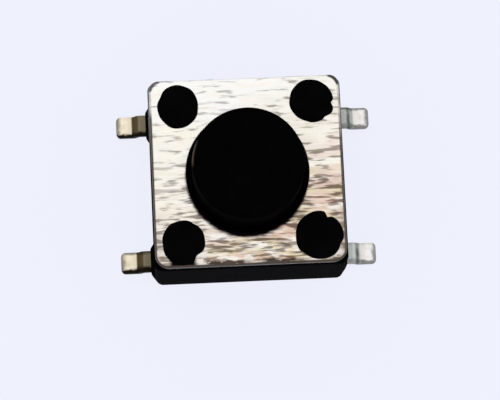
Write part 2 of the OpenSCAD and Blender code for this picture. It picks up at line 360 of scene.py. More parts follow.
def make_piece(name, mesh, body, node, slot, *materials):
    """One object at the origin from a mesh, smooth but for its sharp creases. It rides on the body,
    stands for the CAD node and takes the given finishes. The slot is not used."""
    mesh.name = name
    mesh.shade_smooth()
    mesh.set_sharp_from_angle(angle=CREASE)
    for material in materials:
        mesh.materials.append(material)
    piece = bpy.data.objects.new(name, mesh)
    bpy.context.scene.collection.objects.link(piece)
    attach(piece, body)
    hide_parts(node)
    return piece


def mark_ends(mesh, reach):
    """Gives the faces that look along X, and lie further than reach from the middle, the piece's
    second material."""
    middle, normal = np.empty((2, len(mesh.polygons) * 3), np.float32)
    mesh.polygons.foreach_get("center", middle)
    mesh.polygons.foreach_get("normal", normal)
    ends = (np.abs(normal[::3]) > 0.9) & (np.abs(middle[::3]) > reach)
    mesh.polygons.foreach_set("material_index", ends.astype(np.int32))


def filleted(corners, radii, arc_steps):
    """A flat line through the corners, with an arc in place of each inner one. An arc of radius r
    that turns by a starts r tan(a / 2) before its corner."""
    corners = np.asarray(corners, float)
    line = [corners[:1]]
    for before, corner, after, radius in zip(corners, corners[1:], corners[2:], radii):
        inward = (corner - before) / np.hypot(*(corner - before))
        outward = (after - corner) / np.hypot(*(after - corner))
        turn = math.atan2(inward[0] * outward[1] - inward[1] * outward[0], inward @ outward)
        side = math.copysign(1.0, turn) * np.array([-inward[1], inward[0]])
        angle = steps(0, abs(turn), arc_steps)[:, None]
        line.append(corner - inward * radius * math.tan(abs(turn) / 2)
                    + radius * (np.sin(angle) * inward + (1 - np.cos(angle)) * side))
    line.append(corners[-1:])
    return np.concatenate(line)


def turned(profile, angles):
    """A profile of (radius, height) rows turned round the Z axis: (r cos a, r sin a, z)."""
    radius, height = profile[:, 0][:, None], profile[:, 1][:, None]
    return np.stack([radius * np.cos(angles), radius * np.sin(angles),
                     height * np.ones_like(angles)], -1)


def round_solid(name, profile, sides, x=0.0, y=0.0):
    """A closed mesh: a profile of (radius, height) rows turned round the upright axis at (x, y). It
    starts half a step off the X direction, so that none of its points lies on another piece's
    seam."""
    half = math.pi / sides
    grid = turned(np.asarray(profile), steps(half, 2 * math.pi + half, sides)[:-1])
    return surface(name, patch(grid + np.array([x, y, 0.0]), wrap=True))


def lifted(flat, height):
    """Flat points as points in space, at a height that may vary."""
    return np.concatenate([flat, np.broadcast_to(height, flat.shape[:-1])[..., None]], -1)


def quarter_outline(half_x, half_y, radius, spacing, arc_steps):
    """A quarter of a rounded rectangle, from the X axis round the corner to the Y axis, as points
    and their outward normals: a straight, a quarter circle and a straight."""
    up = steps(0, half_y - radius, round((half_y - radius) / spacing))[:-1]
    back = steps(half_x - radius, 0, round((half_x - radius) / spacing))[1:]
    angle = steps(0, math.pi / 2, arc_steps)
    arc = np.stack([np.cos(angle), np.sin(angle)], -1)
    points = np.concatenate([np.stack([np.full_like(up, half_x), up], -1),
                             np.array([half_x - radius, half_y - radius]) + radius * arc,
                             np.stack([back, np.full_like(back, half_y)], -1)])
    normals = np.concatenate([np.tile([1.0, 0.0], (len(up), 1)), arc,
                              np.tile([0.0, 1.0], (len(back), 1))])
    return points, normals


def quarter_edge(outline, bore, turn):
    """The closed edge of a quarter plate with a round bore: along the outline to the Y axis, down
    it to the bore, along the bore's arc at the given angles, and out along the X axis."""
    arc = bore * np.stack([np.cos(turn), np.sin(turn)], -1)
    down = steps(outline[-1, 1], bore, 12)[1:-1]
    out = steps(bore, outline[0, 0], 12)[1:]
    return np.concatenate([outline, np.stack([0 * down, down], -1), arc,
                           np.stack([out, 0 * out], -1)])


def spokes(edge, inner, count):
    """Straight lines from each point of the edge to its partner, cut into equal steps. Rows follow
    the edge."""
    t = steps(0, 1, count)[:, None]
    return edge[:, None] + (inner - edge)[:, None] * t


def carried(outline, normals, profile):
    """A profile of (reach, height) rows carried along an outline: outline + reach * normal."""
    flat = outline[:, None] + normals[:, None] * profile[:, 0][:, None]
    return lifted(flat, profile[:, 1])


def in_quarters(make):
    """Patches for the four quarters. Each is made as the first one and mirrored to its place."""
    patches = []
    for side_x, side_y in HEADS:
        for grid in make(side_x, side_y):
            patches.append(patch(grid * np.array([side_x, side_y, 1.0])))
    return patches


def swept(path, side, up, width, height, edge, blunt):
    """A strip: a rounded rectangle carried along a path. Each point is path + u side + v up. Both
    ends are closed. Towards each end, its width follows a quarter circle of radius blunt, and its
    height one of the smaller of blunt and the edge's radius."""
    corner, _ = quarter_outline(width / 2, height / 2, edge, min(width, height) / 3, 6)
    left = corner[::-1] * (-1, 1)
    section = np.concatenate([corner[:-1], left[:-1], -corner[:-1], -left[:-1]])
    along = directions(np.gradient(path, axis=0))
    turn = steps(0, math.pi / 2, 8)
    from_end = blunt * (1 - np.cos(turn))
    start = path[:1] + from_end[:, None] * along[:1]
    stop = path[-1:] - from_end[::-1, None] * along[-1:]
    path = np.concatenate([start, path[1:-1], stop])
    up = np.concatenate([up[:1].repeat(len(turn), 0), up[1:-1], up[-1:].repeat(len(turn), 0)])
    thin = min(blunt, edge)
    narrow = np.stack([blunt * (1 - np.sin(turn)),
                       thin - np.sqrt(thin ** 2 - np.maximum(thin - from_end, 0) ** 2)], -1)
    shrink = np.ones((len(path), 1, 2))
    shrink[:len(turn), 0] = 1 - 2 * narrow / np.array([width, height])
    shrink[-len(turn):, 0] = shrink[len(turn) - 1::-1, 0]
    section = section * shrink
    grid = path[:, None] + section[..., :1] * side + section[..., 1:] * up[:, None]
    middle = np.ones((1, len(section[0]), 1))
    return patch(np.concatenate([path[:1, None] * middle, grid, path[-1:, None] * middle]), wrap=True)


# ---------------------------------------------------------------- finishes

class Value:
    """What a node gives: a number, a colour or a shader. Arithmetic with a number adds nodes."""

    def __init__(self, look, socket):
        self.look, self.socket = look, socket

    def __add__(self, other):
        return self.look.calc("ADD", self, other)

    def __sub__(self, other):
        return self.look.calc("SUBTRACT", self, other)

    def __rsub__(self, other):
        return self.look.calc("SUBTRACT", other, self)

    def __mul__(self, other):
        return self.look.calc("MULTIPLY", self, other)

    def __truediv__(self, other):
        return self.look.calc("DIVIDE", self, other)

    def __abs__(self):
        return self.look.calc("ABSOLUTE", self)

    __radd__, __rmul__ = __add__, __mul__

    def ramp(self, start, stop, low=0.0, high=1.0, kind="SMOOTHSTEP"):
        """A smooth climb from low, where the value is at start, to high, where it is at stop."""
        return self.look.add("MapRange", {0: self, 1: start, 2: stop, 3: low, 4: high},
                             interpolation_type=kind)

    def line(self, *ends):
        """The same climb in a straight line, held level past its ends."""
        return self.ramp(*ends, kind="LINEAR")


class Finish:
    """One material's node tree. Patterns read Object coordinates, turned into millimetres."""

    def __init__(self, name):
        self.material = bpy.data.materials.new(name)
        self.material.use_nodes = True
        self.tree = self.material.node_tree
        self.shader = self.tree.nodes["Principled BSDF"]
        place = self.add("TexCoord", output="Object")
        self.place = self.add("Mapping", {"Vector": place, "Scale": (1 / MM,) * 3})
        self.x, self.y, self.z = (self.add("SeparateXYZ", {0: self.place}, output=axis)
                                  for axis in "XYZ")

    def add(self, kind, inputs=None, output=0, **settings):
        """Adds a node with the given inputs and settings, and gives one of its outputs."""
        node = self.tree.nodes.new("ShaderNode" + kind)
        for name, value in settings.items():
            setattr(node, name, value)
        for name, value in (inputs or {}).items():
            self.put(node.inputs[name], value)
        return Value(self, node.outputs[output])

    def put(self, socket, value):
        """Links what another node gives to an input, or sets the input. A colour gets an alpha of 1."""
        if isinstance(value, Value):
            self.tree.links.new(value.socket, socket)
        elif socket.type == "RGBA":
            socket.default_value = (*value[:3], 1.0)
        else:
            socket.default_value = value

    def surface(self, **inputs):
        """Sets the shader's inputs, whose names are given with _ for a space."""
        for name, value in inputs.items():
            self.put(self.shader.inputs[name.replace("_", " ")], value)

    def calc(self, operation, *values):
        """One step of arithmetic."""
        return self.add("Math", dict(enumerate(values)), operation=operation)

    def most(self, first, *others):
        """The largest of the values."""
        for other in others:
            first = self.calc("MAXIMUM", first, other)
        return first

    def length(self, across, back):
        """The square root of across^2 + back^2."""
        return self.calc("SQRT", across * across + back * back)

    def noise(self, across, back, up=None, detail=2.0, rough=0.5, shift=0.0, place=None):
        """Soft noise from 0 to 1, whose waves are so many millimetres across, back and up."""
        scale = (1 / across, 1 / back, 1 / (up or back))
        moved = self.add("Mapping", {0: place or self.place, 1: (shift, 1.7 * shift, 0.6 * shift),
                                     3: scale})
        return self.add("TexNoise", {"Vector": moved, "Scale": 1.0, "Detail": detail,
                                     "Roughness": rough}, output="Fac")

    def mix(self, share_of_second, first, second):
        """One colour over another."""
        return self.add("Mix", {0: share_of_second, 6: first, 7: second}, 2, data_type="RGBA")

    def bump(self, height, depth):
        """A bump as deep as depth, in metres, where the height goes from 0 to 1."""
        return self.add("Bump", {"Height": height, "Distance": depth})


def shaded(tone, factor):
    """The colour, made lighter or darker by the factor."""
    return tuple(factor * part for part in tone)


def moulded_plastic(name, settings, edge_highlight):
    """Black moulded plastic: fine spark-eroded grain, slight flow marks and uneven gloss. Its last
    argument, a function, gives the share of the painted highlight's colour, from the finish and its
    grain."""
    look = Finish(name)
    fine = look.noise(0.030, 0.030, detail=3.0, rough=0.6)
    broad = look.noise(0.8, 0.8, shift=3.0)
    base = look.mix(0.6 * broad.ramp(0.35, 0.75), settings.plastic, shaded(settings.plastic, 2.2))
    # the painted highlight goes over the plastic's own colour
    look.surface(Base_Color=look.mix(edge_highlight(look, fine), base, settings.edge_highlight),
                 Roughness=settings.rough + 0.18 * (broad - 0.5),
                 Specular_IOR_Level=settings.sheen,
                 Normal=look.bump(fine + 0.7 * broad, 0.0035 * MM))
    return look.material


def rim_highlight(look, fine):
    """Where the housing gets a painted highlight: its upper edge round the plate, more towards the
    back.
    """
    high = HOUSING_TOP / MM
    return (look.z.ramp(high - 0.07, high - 0.03) * look.z.ramp(high + 0.02, high + 0.01)
            * look.y.ramp(-0.2, 2.2) * fine.ramp(0.30, 0.60))


def edge_glint(settings):
    """Where the button gets a painted glint: its top edge, for a short way round from the given
    direction. The cosine of the angle from it is (x cos a + y sin a) / r."""
    towards, radius, top = settings.glint_towards, settings.radius / MM, BUTTON_HIGH.z / MM

    def edge_highlight(look, fine):
        out = look.length(look.x, look.y)
        facing = (math.cos(towards) * look.x + math.sin(towards) * look.y) / out
        return (out.ramp(radius - 0.078, radius - 0.023) * facing.ramp(0.962, 0.995)
                * look.z.ramp(top - 0.18, top - 0.12))
    return edge_highlight


def brushed_steel(settings):
    """Brushed, slightly tarnished sheet steel. Grooves run along X and wander a little. Dark marks,
    warm patches and specks grow with the wear, with painted shade by the two front corners. Over them
    lie the scuffs and soot along the front, painted shade in front of the button and of the left front
    head, and painted shade on the rolled edges and the back corners."""
    look = Finish("brushed_plate_steel")
    # how far the wear has gone: 0 at the back left, 1 at the front right
    slant = 0.39 + 0.062 * look.x - 0.135 * look.y
    drift = 0.30 * (look.noise(1.6, 1.0, detail=1.0, shift=7.0) - 0.5)
    wear = (slant + drift).line(0, 1)
    sway = 0.06 * (look.noise(0.9, 2.2, shift=2.0) - 0.5)
    flow = look.add("CombineXYZ", {0: look.x, 1: look.y + sway, 2: look.z})
    fine = look.noise(0.45, 0.055, rough=0.6, place=flow)
    broad = look.noise(0.85, 0.20, detail=1.0, shift=5.0, place=flow)
    speck = look.noise(0.42, 0.095, detail=1.5, shift=31.0, place=flow)
    # in front of the button the tarnish breaks up into dark and bright specks
    front = look.y.ramp(-1.55, -2.15)
    # the brush marks, with painted shade by the two front corners
    marks = brush_marks_and_shade(look, wear, flow, fine, broad)
    dark = look.most(marks, 0.75 * front * speck.ramp(0.52, 0.70))
    bright = look.most(broad.ramp(0.53, 0.35), front * speck.ramp(0.48, 0.34))
    clean, tint = tarnish(look, wear, 0.92 * bright, settings)
    base = look.mix(dark, clean, tint)
    base = front_marks_and_shade(look, base, settings)
    base = edge_shade(look, base, settings)
    look.surface(Base_Color=base, Metallic=1.0, Roughness=0.16 + 0.12 * fine + 0.20 * dark,
                 Normal=look.bump(fine + 0.8 * broad, 0.0012 * MM))
    return look.material


def brush_marks_and_shade(look, wear, flow, fine, broad):
    """How dark the brush marks are. Soft dashes and long lines show where their noise is over a limit,
    which falls as the wear grows. With them come hairlines, broad shade and painted shade on the
    plate's sides by the two front corners."""
    x, y, streak = look.x, look.y, 0.34 * (fine - 0.5)
    crowd = y.ramp(-0.5, -1.4) * x.ramp(-1.0, -2.0) * y.ramp(-2.5, -2.1, -0.8, 1.0)
    limit = wear.line(0.0, 0.9, 0.57, 0.46) - 0.060 * crowd
    dash = look.noise(0.58, 0.125, detail=1.5, rough=0.45, shift=11.0, place=flow)
    dashes = (dash - limit + streak).ramp(0.0, 0.18) * wear.line(0.0, 0.8, 0.53, 0.90)
    limit = wear.line(0.1, 1.0, 0.60, 0.48)
    long = look.noise(1.9, 0.180, detail=1.0, shift=19.0, place=flow)
    lines = (long - limit + streak).ramp(0.0, 0.14) * wear.line(0.1, 0.6, 0.35, 0.85)
    thin = fine.ramp(0.45, 0.80) * wear.line(0.0, 1.0, 0.05, 0.22)
    shade = broad.ramp(0.45, 0.75) * wear.line(0.0, 1.0, 0.03, 0.26)
    # painted shade on the plate's sides by the two front corners, stronger on the right
    corners = (abs(x).ramp(2.2, 2.9) * y.ramp(-0.8, -1.9) * broad.ramp(0.30, 0.62, 0.25, 0.75)
               * x.ramp(-1.0, 1.0, 0.45, 1.0))
    return look.most(shade, corners, dashes, lines, thin)


def tarnish(look, wear, flecks, settings):
    """The colour between the marks, and the colour of the marks and of the painted shade by the two
    front corners. Clean metal warms with the wear, in yellow and pink patches, cream ones on the left,
    and bright flecks between."""
    lean = look.y.ramp(0.35, -0.25, -0.12, 0.04)
    hue = look.noise(1.1, 0.45, detail=1.0, shift=13.0) + lean
    warm = look.mix(hue.ramp(0.40, 0.62), settings.tarnish, settings.blush)
    leftward = look.x.ramp(-0.9, -1.9)
    warmth = wear.line(0.06, 0.76) * (1 - 0.5 * leftward)
    cloud = look.noise(0.9, 0.5, detail=1.0, shift=23.0)
    cream = leftward * look.y.ramp(2.3, 1.2) * cloud.ramp(0.40, 0.60, 0.25, 0.65)
    clean = look.mix(cream, look.mix(warmth, settings.bright, warm), settings.cream)
    tint = look.mix((cloud + lean).ramp(0.42, 0.58), settings.scratch_and_shade, settings.rust_and_shade)
    return look.mix(flecks, clean, settings.fleck), tint


def front_marks_and_shade(look, base, settings):
    """The base colour with scuffs by the front heads, soot along the ragged front edge, and painted
    shade: a patch at the foot of the left front head, and a crescent along the front of the button's
    hole, painted as the button's reflection."""
    x, y = look.x, look.y
    ragged = look.noise(0.34, 0.12, detail=3.0, rough=0.65, shift=4.0)
    # the scuffs fill an oval in front of each front post, a little to its right
    beside = (x - look.calc("SIGN", x) * (POST[0] / MM) - 0.423) * 2.6
    before = (y + 2.639) * 3.6
    oval = beside * beside + before * before
    scuffs = 0.85 * oval.ramp(1.3, 0.2) * ragged.ramp(0.40, 0.58)
    edge = 0.42 * look.noise(0.55, 3.0, detail=4.0, rough=0.6, shift=9.0) - 3.015
    soot_and_shade = (0.95 * (y - edge).ramp(0.05, -0.03) * x.ramp(-1.6, -1.3) * ragged.ramp(0.30, 0.48)
            * abs(x - 0.08).ramp(0.20, 0.38, 0.30, 1.0) * x.ramp(1.25, 1.50, 1.0, 0.25))
    # the crescent, a painted reflection of the button, is a circle a little larger than the hole and
    # further forward
    out = look.length(x + 0.03, y + 0.17) - settings.hole / MM + 0.10 * (ragged - 0.5)
    # painted shade between the left front head and the front edge
    beneath = abs(x + 2.14).ramp(0.50, 0.32) * y.ramp(-2.64, -2.76)
    painted_shade = look.most(out.ramp(0.085, -0.03), beneath)
    for share_of_mark, mark in ((scuffs, settings.scuff), (soot_and_shade, settings.soot_and_shade), (painted_shade, settings.painted_shade)):
        base = look.mix(share_of_mark, base, mark)
    return base


def edge_shade(look, base, settings):
    """The base colour with painted shade on the rolled edge, which fades along the back and on the back
    of the sides, and painted shade on the two back corners, dark outside a circle as if bent down."""
    x, y, top = look.x, look.y, PLATE_HIGH.z / MM
    fade = y.ramp(x.line(-1.0, 1.0, 1.75, 0.70), x.line(-1.0, 1.0, 2.15, 2.00), 1.0, 0.36)
    side = look.most(abs(x), -1.0 * y)
    # painted shade on the rolled edge
    rolled = look.z.ramp(top - 0.001, top - 0.022) * side.ramp(2.2, 2.7, 0.25, 1.0) * fade
    base = look.mix(rolled, base, settings.rolled_edge_shade)
    # the circle stands where a back corner of the front corners' radius would have its middle
    over_x = look.most(abs(x) + (settings.corner - PLATE_HIGH.x) / MM, 0.0)
    over_y = look.most(y + (settings.corner - PLATE_HIGH.y - settings.back) / MM, 0.0)
    # painted shade on the two back corners, as if bent down
    bent = (look.length(over_x, over_y).ramp(0.32, 0.37)
            * look.calc("MINIMUM", over_x, over_y).ramp(0.03, 0.12)
            * look.z.ramp(top - 0.20, top - 0.11) * x.line(-1.0, 1.0, 0.88, 0.97))
    return look.mix(bent, base, settings.soot_and_shade)


def spring_steel(settings):
    """Rolled spring steel: fine straight roll marks and a slight haze."""
    look = Finish("dome_spring_steel")
    marks, haze = look.noise(1.4, 0.035), look.noise(0.5, 0.5, shift=2.0)
    tone = look.mix(marks.ramp(0.35, 0.75), settings.steel, shaded(settings.steel, 0.72))
    look.surface(Base_Color=tone, Metallic=1.0, Roughness=0.22 + 0.15 * haze,
                 Normal=look.bump(marks, 0.001 * MM))
    return look.material


def silver_plating(settings):
    """Silver plating, warm on the left and neutral on the right. The tips, the front edges and the
    slopes are darkened with painted shade, more so on the left."""
    look = Finish("terminal_silver_plating")
    clouds = look.noise(0.30, 0.24)
    marks = look.noise(0.05, 0.6, 0.05, shift=3.0)
    wander = 0.20 * (look.noise(0.20, 0.20, detail=3.0, shift=5.0) - 0.5)
    left, back = look.x.ramp(1.0, -1.0), look.y.ramp(-1.0, 1.0)
    # millimetres from the tip, in from each edge of the lead, and past its lower bend
    from_tip = BACK_HIGH.x / MM - abs(look.x) + wander
    off = look.y - look.calc("SIGN", look.y) * (LEAD_Y / MM) + wander
    half = settings.width / 2 / MM
    from_front, from_back = off + half, half - off
    past = abs(look.x) - lead_bends(settings)[1] / MM
    slope = past.ramp(0.113, 0.063)
    # painted shade on the borders: at the tip, along the back of two leads, and a broader band along
    # the front, a painted shadow
    tip_rim = 0.72 * from_tip.ramp(0.20, 0.05)
    back_rim = from_back.ramp(0.14, 0.03) * abs(left - back).line(0, 1, 0.15, 0.70)
    reach = 0.14 + 0.03 * left + 0.04 * (slope - left * back)
    strength = (0.74 + 0.27 * left - 0.30 * slope * (1 - left)).line(0, 1)
    rim_shade = look.most((from_front / reach).ramp(1.25, 0.55) * strength, tip_rim, back_rim)
    # the slope, in painted light and shade: olive on the left, with a paler stretch by the wall where
    # the upper bend catches the light, and grey on the right, a little darker on the back lead, with a
    # darker line of painted shade along the lower bend
    olive = look.mix(past.ramp(-0.092, -0.172), settings.olive, settings.pale_olive)
    crease = abs(past + 0.022 + 0.06 * back + 0.3 * wander).ramp(0.10, 0.01)
    crease = crease * clouds.ramp(0.30, 0.62, 0.45, 0.80)
    grey = look.mix(0.15 * back, settings.grey, settings.lead_shade)
    climbing = look.mix(left, look.mix(crease, grey, settings.lead_shade), olive)
    faded = 0.30 * look.most(clouds.ramp(0.42, 0.70), past.ramp(0.348, 0.088))
    tone = look.mix(faded, look.mix(left, settings.silver, settings.warm), settings.stain)
    tone = look.mix(slope, tone, climbing)
    look.surface(Base_Color=look.mix(rim_shade, tone, settings.lead_shade), Metallic=1.0,
                 Roughness=0.26 + 0.20 * clouds + 0.15 * slope,
                 Normal=look.bump(clouds + 0.5 * marks, 0.002 * MM))
    return look.material


def sheared_metal(name, tone):
    """The bare end of a sheared strip: a bright band, then a torn, darker one with short lines."""
    look = Finish(name)
    lines = look.noise(0.03, 0.03, 0.25, detail=3.0, rough=0.7)
    torn = look.noise(0.25, 0.25, 0.06, shift=3.0).ramp(0.40, 0.62)
    look.surface(Base_Color=look.mix(torn, tone, shaded(tone, 0.35)), Metallic=1.0,
                 Roughness=0.38 + 0.25 * lines, Normal=look.bump(lines, 0.004 * MM))
    return look.material


# ---------------------------------------------------------------- pieces

def plate_quarter(side_y, settings):
    """One quarter of the plate. Its top and underside are straight lines from the quarter's edge
    in to the post's hole, and rolled edges, carried along the outline and turned round the holes,
    join the two."""
    corner = settings.back_corner if side_y > 0 else settings.corner
    outline, normals = quarter_outline(PLATE_HIGH.x, PLATE_HIGH.y + side_y * settings.back,
                                       corner, 0.04 * MM, 20)
    low, high, burr = PLATE_LOW.z, PLATE_HIGH.z, settings.burr
    arc = steps(math.pi / 2, 0, 60)
    roll, lip, hole = settings.roll, settings.hole_roll, settings.hole
    upper = quarter_edge(outline - roll * normals, hole + lip, arc)
    lower = quarter_edge(outline - burr * normals, hole + burr, arc)
    away = directions(upper - POST)
    bore = settings.post_hole
    top = lifted(spokes(upper, POST + (bore + burr) * away, 14), high)
    under = lifted(spokes(lower, POST + (bore + burr) * away, 14), low)
    wall = filleted([(bore + burr, high), (bore, high), (bore, low), (bore + burr, low)],
                    [burr, burr], 3)
    post_wall = lifted(POST + wall[:, 0][:, None] * away[:, None], wall[:, 1])
    side = filleted([(-roll, high), (0, high), (0, low), (-burr, low)], [roll, burr], 8)
    inner = filleted([(hole + lip, high), (hole, high), (hole, low), (hole + burr, low)],
                     [lip, burr], 6)
    return top, under, post_wall, carried(outline, normals, side), turned(inner, arc)


class MakeCoverPlate(Operator):
    """Make the brushed cover plate"""
    bl_idname = "switch.make_cover_plate"
    bl_label = "Cover plate"
    bl_options = {"REGISTER", "UNDO"}

    def execute(self, context):
        settings = context.scene.switch_plate
        mesh = surface("plate", *in_quarters(lambda side_x, side_y: plate_quarter(side_y, settings)))
        make_piece("brushed_cover_plate", mesh, SWITCH_BODY, "cover_plate", "plate_steel",
                   brushed_steel(settings))
        return {"FINISHED"}


def head_radius(angle, head, settings):
    """A melted head's rim, as a radius for each direction: its mean radius, plus waves, minus a
    bell-shaped nick in some directions."""
    radius = settings.head + head["grow"] * MM + 0 * angle
    for waves, height, phase in head["lobes"]:
        radius += height * MM * np.cos(waves * (angle - math.radians(phase)))
    for direction, depth, width in head["nicks"]:
        off = np.angle(np.exp(1j * (angle - math.radians(direction))))
        radius -= depth * MM * np.exp(-(off / math.radians(width)) ** 2)
    return radius


def head_rings(away, head, side_x, side_y, settings):
    """A post and its head, as points for each direction: up the post, out under the head, round its
    rim and over its top to the middle. A point at a share t of the way to the rim lies
    t * (mean + (rim - mean) * t^3) from the middle, so the rim's waves fade inwards."""
    angle = np.arctan2(side_y * away[:, 1], side_x * away[:, 0])[:, None]
    rim = head_radius(angle, head, settings)
    share, rise = HEAD_PROFILE[:, 0], HEAD_PROFILE[:, 1] * MM
    mean = settings.head + head["grow"] * MM
    reach = share * (mean + (rim - mean) * share ** 3)
    lumps = np.sin(3 * angle + 2 * side_x + side_y) * np.sin(math.pi * share) ** 2
    height = PLATE_HIGH.z + rise + settings.lump * lumps
    post = np.array([[settings.post] * 2, [HOUSING_TOP, PLATE_HIGH.z]])
    reach = np.concatenate([np.broadcast_to(post[0], (len(angle), 2)), reach], 1)
    height = np.concatenate([np.broadcast_to(post[1], (len(angle), 2)), height], 1)
    aside = np.array([side_x, side_y]) * head["off"] * MM
    middle = POST + aside * (height[..., None] > PLATE_HIGH.z)
    return lifted(middle + reach[..., None] * away[:, None], height)


def pad_reach(y, z, settings):
    """How far the wall stands out at (y, z). The pad's face is flat, its ends slant and its upper
    face is steep: reach times one smooth step along Y and one along Z."""
    along = smooth_step((settings.pad_width / 2 - np.abs(y - LEAD_Y)) / settings.pad_slant)
    upright = smooth_step((settings.pad_top - z) / settings.pad_step + 0.5)
    return settings.pad_reach * along * upright


def housing_quarter(side_x, side_y, settings):
    """The housing's first quarter: wall with its lead pad, top face with a post and its melted
    head, cavity and underside."""
    outline, normals = quarter_outline(settings.half_x, settings.half_y, settings.corner,
                                       0.035 * MM, 14)
    low, high, edge = HOUSING_LOW.z, HOUSING_TOP, settings.top_edge
    step_heights = settings.pad_top + settings.pad_step * steps(-0.75, 0.75, 6)
    heights = np.concatenate([steps(low + edge, settings.pad_top, 6)[:-1], step_heights,
                              steps(settings.pad_top, high - edge, 8)[1:]])
    turn = steps(0, math.pi / 2, 5)[:-1]
    profile = np.concatenate([
        np.stack([edge * (np.sin(turn) - 1), low + edge * (1 - np.cos(turn))], -1),
        np.stack([0 * heights, heights], -1),
        np.stack([edge * (np.sin(turn[::-1]) - 1), high - edge * (1 - np.cos(turn[::-1]))], -1)])
    wall = carried(outline, normals, profile)
    wall[..., 0] += pad_reach(wall[..., 1], wall[..., 2], settings)
    # the steps beside the axes are wide, so that no line from there to the post crosses the cavity
    arc = np.radians(np.concatenate([[90], steps(82, 8, 37), [0]]))
    rim = quarter_edge(outline - edge * normals, settings.cavity + edge, arc)
    away = directions(rim - POST)
    top = lifted(spokes(rim, POST + settings.post * away, 8), high)
    head = head_rings(away, HEADS[side_x, side_y], side_x, side_y, settings)
    cavity = turned(filleted([
        (settings.cavity + edge, high), (settings.cavity, high),
        (settings.cavity, settings.floor_height + settings.pocket_height),
        (settings.pocket, settings.floor_height + settings.pocket_height),
        (settings.pocket, settings.floor_height), (0, settings.floor_height)],
        [edge, settings.ledge, settings.pocket_rim, settings.pocket_root], 4), arc)
    under = lifted(spokes(wall[:, 0, :2], 0 * outline, 12), low)
    return wall, top, head, cavity, under


class MakeHousing(Operator):
    """Make the moulded housing, with its posts and melted heads"""
    bl_idname = "switch.make_housing"
    bl_label = "Housing"
    bl_options = {"REGISTER", "UNDO"}

    def execute(self, context):
        settings = context.scene.switch_housing
        mesh = surface("housing", *in_quarters(lambda *side: housing_quarter(*side, settings)))
        low, pin, mark = HOUSING_LOW.z, settings.pin_place, settings.mark_place
        cuts = [(x, 0, settings.pin_hole, settings.pin_top) for x in (-pin, 0, pin)]
        cuts += [(x, y, settings.mark, low + settings.mark_depth) for x in (-mark, mark)
                 for y in (-mark, mark)]
        cutters = [round_solid("cutter", [(0, low - radius), (radius, low - radius), (radius, top),
                                          (0, top)], 48, x, y) for x, y, radius, top in cuts]
        make_piece("moulded_housing", combined(mesh, cutters, "DIFFERENCE"), SWITCH_BODY, "housing",
                   "housing_plastic", moulded_plastic("housing_black_plastic", settings, rim_highlight))
        return {"FINISHED"}


class MakeButton(Operator):
    """Make the round button"""
    bl_idname = "switch.make_button"
    bl_label = "Button"
    bl_options = {"REGISTER", "UNDO"}

    def execute(self, context):
        settings = context.scene.switch_button
        top, low, reach = BUTTON_HIGH.z, BUTTON_LOW.z, BUTTON_HIGH.x
        shoulder, under = HOUSING_TOP - settings.clear, settings.flange_under
        radius, core, roof, nub = settings.radius, settings.core, settings.core_top, settings.nub
        profile = filleted([
            (0, top), (radius, top), (radius, shoulder), (reach, shoulder), (reach, under),
            (core, under), (core, roof), (nub, roof), (nub, low), (0, low)],
            [settings.edge, settings.root] + [settings.flange_edge] * 3
            + [settings.core_edge] * 2 + [settings.nub_edge], 8)
        make_piece("round_button", round_solid("button", profile, 180), PUSH_BUTTON, "button",
                   "button_plastic",
                   moulded_plastic("button_black_plastic", settings, edge_glint(settings)))
        return {"FINISHED"}


class MakeDome(Operator):
    """Make the snap dome"""
    bl_idname = "switch.make_dome"
    bl_label = "Snap dome"
    bl_options = {"REGISTER", "UNDO"}

    def execute(self, context):
        settings = context.scene.switch_dome
        rim, low, high = DOME_HIGH.x, DOME_LOW.z, DOME_HIGH.z
        rise = high - low - settings.sheet
        ball = (rim ** 2 + rise ** 2) / (2 * rise)
        radius = steps(0, rim, 30)
        # two balls about one middle, the outer larger by the sheet
        middle = low + rise - ball
        upper = np.stack([radius, middle + np.sqrt((ball + settings.sheet) ** 2 - radius ** 2)], -1)
        lower = np.stack([radius, middle + np.sqrt(ball ** 2 - radius ** 2)], -1)
        mesh = round_solid("dome", np.concatenate([upper, lower[::-1]]), 120)
        piece = make_piece("spring_dome", mesh, SWITCH_BODY, "snap_dome", "dome_steel",
                           spring_steel(settings))
        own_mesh(piece)
        return {"FINISHED"}


def lead_bends(settings):
    """How far the corners of a lead's upper and lower bends lie from the middle, along X. A bend of
    radius r that turns by a starts r tan(a / 2) before its corner."""
    upper = settings.bend_start + settings.bend * math.tan(settings.slope / 2)
    return upper, upper + (settings.strip_height - settings.sheet / 2) / math.tan(settings.slope)


def lead_strip(side, settings):
    """One strip with its two leads: a rounded section carried from tip to tip along the foot, the
    bend, the slope, the second bend and straight through the housing."""
    tip, low, high = BACK_HIGH.x, settings.sheet / 2, settings.strip_height
    upper, lower = lead_bends(settings)
    right = [(upper, high), (lower, low), (tip, low)]
    left = [(-x, z) for x, z in right[::-1]]
    line = filleted(left + right, [settings.bend] * 4, 10)
    along = directions(np.gradient(line, axis=0))
    path = np.stack([line[:, 0], np.full(len(line), side * LEAD_Y), line[:, 1]], -1)
    up = np.stack([-along[:, 1], 0 * along[:, 0], along[:, 0]], -1)
    return swept(path, np.array([0.0, 1.0, 0.0]), up, settings.width, settings.sheet, settings.edge,
                 settings.tip_corner)


def bar_along_y(x, start, stop, width, low, high, settings):
    """A straight rounded bar along Y."""
    path = np.array([(x, y, (low + high) / 2) for y in steps(start, stop, 2)])
    up = np.tile([0.0, 0.0, 1.0], (3, 1))
    return surface("bar", swept(path, np.array([1.0, 0.0, 0.0]), up, width, high - low,
                                settings.edge, settings.burr))


